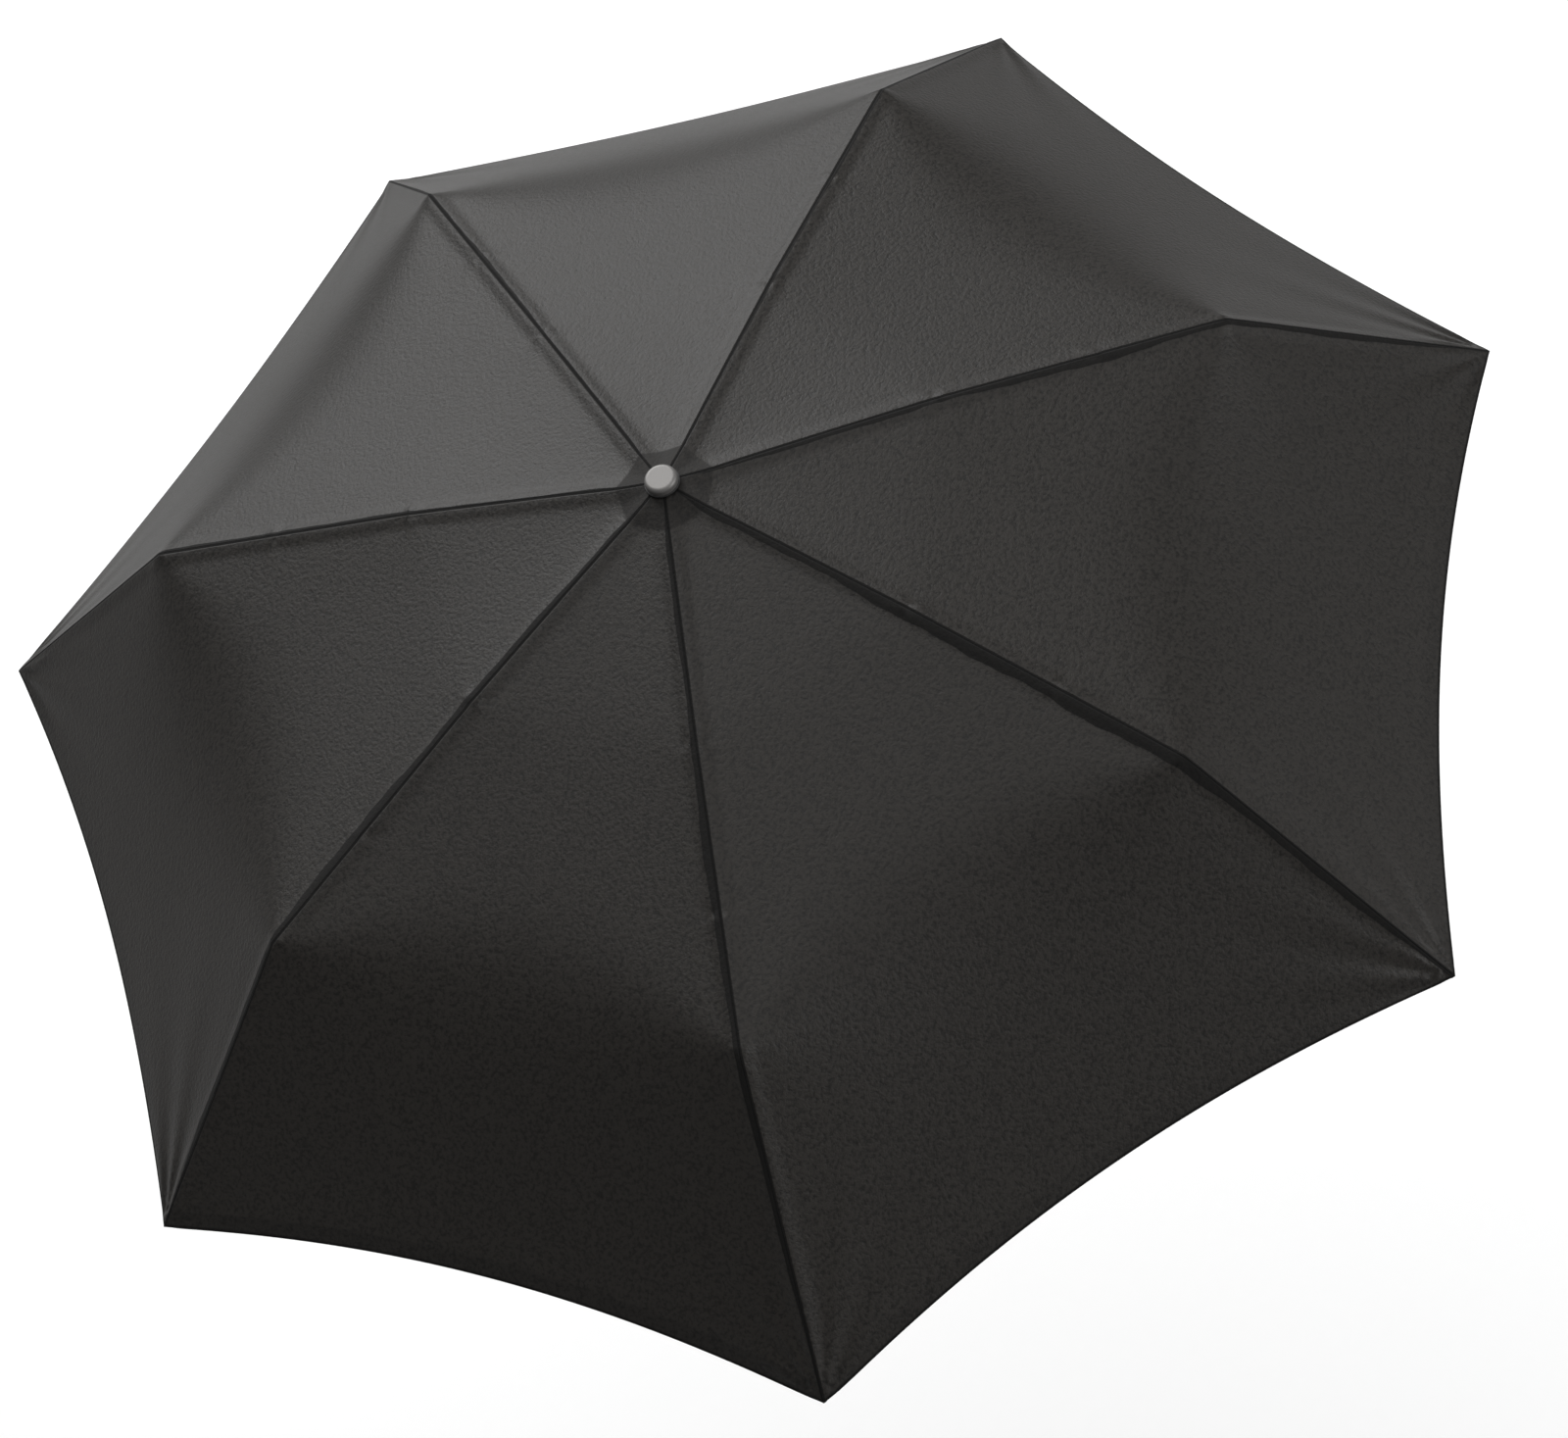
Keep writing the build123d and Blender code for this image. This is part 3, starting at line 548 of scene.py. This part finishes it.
canopy_cloth = cloth_finish("canopy_cloth", CLOTH_GREY, CLOTH_LETS_THROUGH, PATCH_REACH)
patch_cloth = cloth_finish("patch_cloth", PATCH_GREY, PATCH_LETS_THROUGH)
for made, *_ in cloth_pieces.values():
    made.data.materials.append(canopy_cloth)
patch.data.materials.append(patch_cloth)
for made, _ in tapes.values():
    made.data.materials.append(patch_cloth)
print("cloth finishes:", canopy_cloth.name, patch_cloth.name)

# %% [markdown]
# Each piece is now tied to its rib and given a mesh of its own, and the gore of the design that it stands for
# is hidden. The length of each piece down the rib is measured from the pivots of the design, and the area of
# the paper pattern between its four corners is worked out, but neither number is used further.

def pattern_area(index, gore, side):
    """Area of the paper pattern of a piece: the straight-sided shape between its four corners."""
    corners = ((index, 0.0), (index + 1, 0.0), (index + 1, 1.0), (index, 1.0))
    a, b, c, d = [Vector(place(np.array(cut(i, share)), np.array(share), gore, side)) for i, share in corners]
    return (c - a).cross(d - b).length / 2


for made, carrier in tapes.values():
    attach(made, carrier)
for name, (made, section, index, body, rib, gore) in cloth_pieces.items():
    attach(made, f"{body}_{rib}")
    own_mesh(made)
    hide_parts(f"gore_{gore}")
    length = (rib_point(index + 1, rib) - rib_point(index, rib)).length
    length += HEM_TURN if section == "hem" else 0
    pattern_area(index, gore, 1 if name.endswith("_b") else -1)
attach(patch, "upper_shaft")
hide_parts("rosette")
print("cloth rides on", len({(b, r) for _, _, _, b, r, _ in cloth_pieces.values()}), "ribs")


# %% [markdown]
# ## Plain finishes for the frame
# Painted steel is dark with a faint flow of the paint along the rib, tubes are bright steel with fine lines
# drawn along them, and moulded parts have a fine spark texture. Each one differs only in its numbers.

# %% Frame finishes
def plain_finish(name, colour, roughness, metallic=0.0, stretch=(1, 1, 1), scale=900.0, depth=0.00003,
                 spread=0.18, coat=0.0, strength=0.3):
    t = Tree(name)
    where = t.stretched(stretch)
    fine = t.noise(where, scale, 4.0, 0.6)
    cloudy = t.noise(t.place(), 60.0, 2.0)
    dark = tuple(c * (1 - spread) for c in colour[:3]) + (1,)
    light = tuple(min(c * (1 + spread), 1) for c in colour[:3]) + (1,)
    blotches = t.math("MULTIPLY_ADD", fine, 0.6, t.math("MULTIPLY", cloudy, 0.4))
    t.give(t.shader.inputs["Base Color"], t.mix(blotches, dark, light))
    t.give(t.shader.inputs["Roughness"], t.math("MULTIPLY_ADD", fine, 0.18, roughness - 0.09))
    t.give(t.shader.inputs["Normal"], t.bump(fine, strength, depth))
    t.shader.inputs["Metallic"].default_value = metallic
    t.shader.inputs["Coat Weight"].default_value = coat
    return t.material


finishes = {
    "handle_plastic": plain_finish("handle_soft_plastic", rgb(0.018), 0.55, scale=2600, depth=0.00006,
                                   strength=0.5),
    "end_cap_plastic": plain_finish("end_cap_plastic", rgb(0.022), 0.42, scale=1800, depth=0.00004),
    "screw_steel": plain_finish("screw_steel", rgb(0.55, 0.02), 0.28, 1.0, scale=1500),
    "shaft_steel": plain_finish("drawn_tube_steel", rgb(0.62, 0.01), 0.22, 1.0, (1, 1, 0.02), 2200, 0.00001),
    "plug_plastic": plain_finish("plug_plastic", rgb(0.04), 0.5, scale=1500),
    "spring_steel": plain_finish("spring_steel", rgb(0.42, 0.03), 0.3, 1.0, scale=1200),
    "crown_plastic": plain_finish("crown_nylon", rgb(0.02), 0.5, scale=1600, depth=0.00005),
    "ring_wire": plain_finish("ring_wire", rgb(0.5), 0.3, 1.0),
    "runner_plastic": plain_finish("runner_nylon", rgb(0.02), 0.46, scale=1600, depth=0.00005),
    "runner_sleeve_metal": plain_finish("sleeve_chrome", rgb(0.68), 0.16, 1.0, (1, 1, 0.05), 1800, 0.00001),
    "rib_steel": plain_finish("painted_rib_steel", rgb(0.03, -0.03), 0.34, 0.2, scale=500, coat=0.3,
                              depth=0.00002),
    "middle_rib_metal": plain_finish("middle_rib_alloy", rgb(0.5, -0.01), 0.34, 1.0, scale=700,
                                     depth=0.00002),
    "tip_wire": plain_finish("tip_wire_black", rgb(0.025), 0.4, 0.3, scale=800),
    "patch_fabric": patch_cloth,
    "washer_rubber": plain_finish("washer_rubber", rgb(0.012), 0.62, scale=2000, depth=0.00004),
    "cap_metal": plain_finish("cap_satin_metal", rgb(0.16, 0.03), 0.5, 0.5, scale=2400, depth=0.00001,
                              spread=0.06),
}
slot_of = {part["node"]: part["material_slot"] for part in frame["record"]["subparts"]}
for node, thing in frame["nodes"].items():
    slot = slot_of.get(node)
    if slot in finishes:
        if not thing.material_slots:
            thing.data.materials.append(None)
        for holder in thing.material_slots:
            holder.link = "OBJECT"
            holder.material = finishes[slot]
print("finished nodes:", sum(slot_of.get(n) in finishes for n in frame["nodes"]))

# %% [markdown]
# ## Camera
# The camera looks down on the canopy from one side, through a long lens, and is turned on its own axis. It
# could be placed by eye, but then it would be lost whenever the canopy changes. Its place is given in canopy
# radii from the canopy's peak instead, so that it follows the canopy.

# %% Camera
peak = Vector((0, 0, line[0][1] - slopes[0] * line[0][0]))
CAMERA_AT = Vector((-2.1908, -1.9903, 3.8831))
LOOKS_AT = Vector((-0.2718, -0.2577, 0.0))
ROLL = math.radians(25.54)
LENS = 95.64
camera_data = bpy.data.cameras.new("camera")
camera_data.lens = LENS
camera_data.sensor_width = 36
camera_data.clip_end = 50
camera = bpy.data.objects.new("camera", camera_data)
bpy.context.scene.collection.objects.link(camera)
camera.location = peak + CAMERA_AT * TIP_REACH
facing = (LOOKS_AT - CAMERA_AT).to_track_quat("-Z", "Y")
camera.rotation_mode = "QUATERNION"
camera.rotation_quaternion = facing @ Quaternion((0, 0, 1), -ROLL)
bpy.context.scene.camera = camera
bpy.context.view_layer.update()
print("camera right:", [round(x, 3) for x in camera.matrix_world.col[0][:3]])

# %% [markdown]
# ## Floor and light
# The umbrella is held at hand height, so the floor lies more than a metre below it and its shadow falls well
# away. Three wide, soft lamps light it. The key lamp is low and behind the canopy as the camera sees it, so
# each gore takes the light at its own angle and gets its own tone, which is how the eye reads the folds.

# %% Floor and light
FLOOR = -1.1
FLOOR_HALF = 30
WORLD_STRENGTH = 0.225


def plane(name, half, z):
    corners = [(-half, -half, z), (half, -half, z), (half, half, z), (-half, half, z)]
    made = new_object(name, corners, [(0, 1, 2, 3)])
    made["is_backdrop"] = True
    return made


floor = plane("floor", FLOOR_HALF, FLOOR)
floor.data.materials.append(plain_finish("pale_floor", rgb(0.96), 0.7, scale=30, spread=0.01, depth=0.0001))


def soft_light(name, azimuth, elevation, distance, size, power):
    data = bpy.data.lights.new(name, "AREA")
    data.shape = "DISK"
    data.size = size
    data.energy = power
    made = bpy.data.objects.new(name, data)
    a, e = math.radians(azimuth), math.radians(elevation)
    way = Vector((math.cos(a) * math.cos(e), math.sin(a) * math.cos(e), math.sin(e)))
    made.location = Vector((0, 0, 0.5)) + way * distance
    made.rotation_mode = "QUATERNION"
    made.rotation_quaternion = (-way).to_track_quat("-Z", "Y")
    bpy.context.scene.collection.objects.link(made)
    return made


soft_light("key", azimuth=45, elevation=30, distance=5.0, size=3.6, power=258)
soft_light("top", azimuth=20, elevation=80, distance=4.5, size=4.0, power=65)
soft_light("fill", azimuth=280, elevation=25, distance=5.0, size=3.0, power=142)
world = bpy.data.worlds.new("studio")
world.use_nodes = True
world.node_tree.nodes["Background"].inputs["Color"].default_value = (1, 1, 1, 1)
world.node_tree.nodes["Background"].inputs["Strength"].default_value = WORLD_STRENGTH
bpy.context.scene.world = world
bpy.context.scene.view_settings.view_transform = "Standard"
print("lights:", len(bpy.data.lights))

# %% [markdown]
# ## Sizes and the end
# The looks must not outgrow the design. The box around everything is measured once more, and how far it has
# grown beyond the box that was taken before anything was made is printed.

# %% Sizes and the end
looks_box = [list(corner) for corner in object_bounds()]
growth = [[round(1000 * (b - a), 1) for a, b in zip(x, y)] for x, y in zip(cad_box, looks_box)]
print("grows by", growth, "mm")
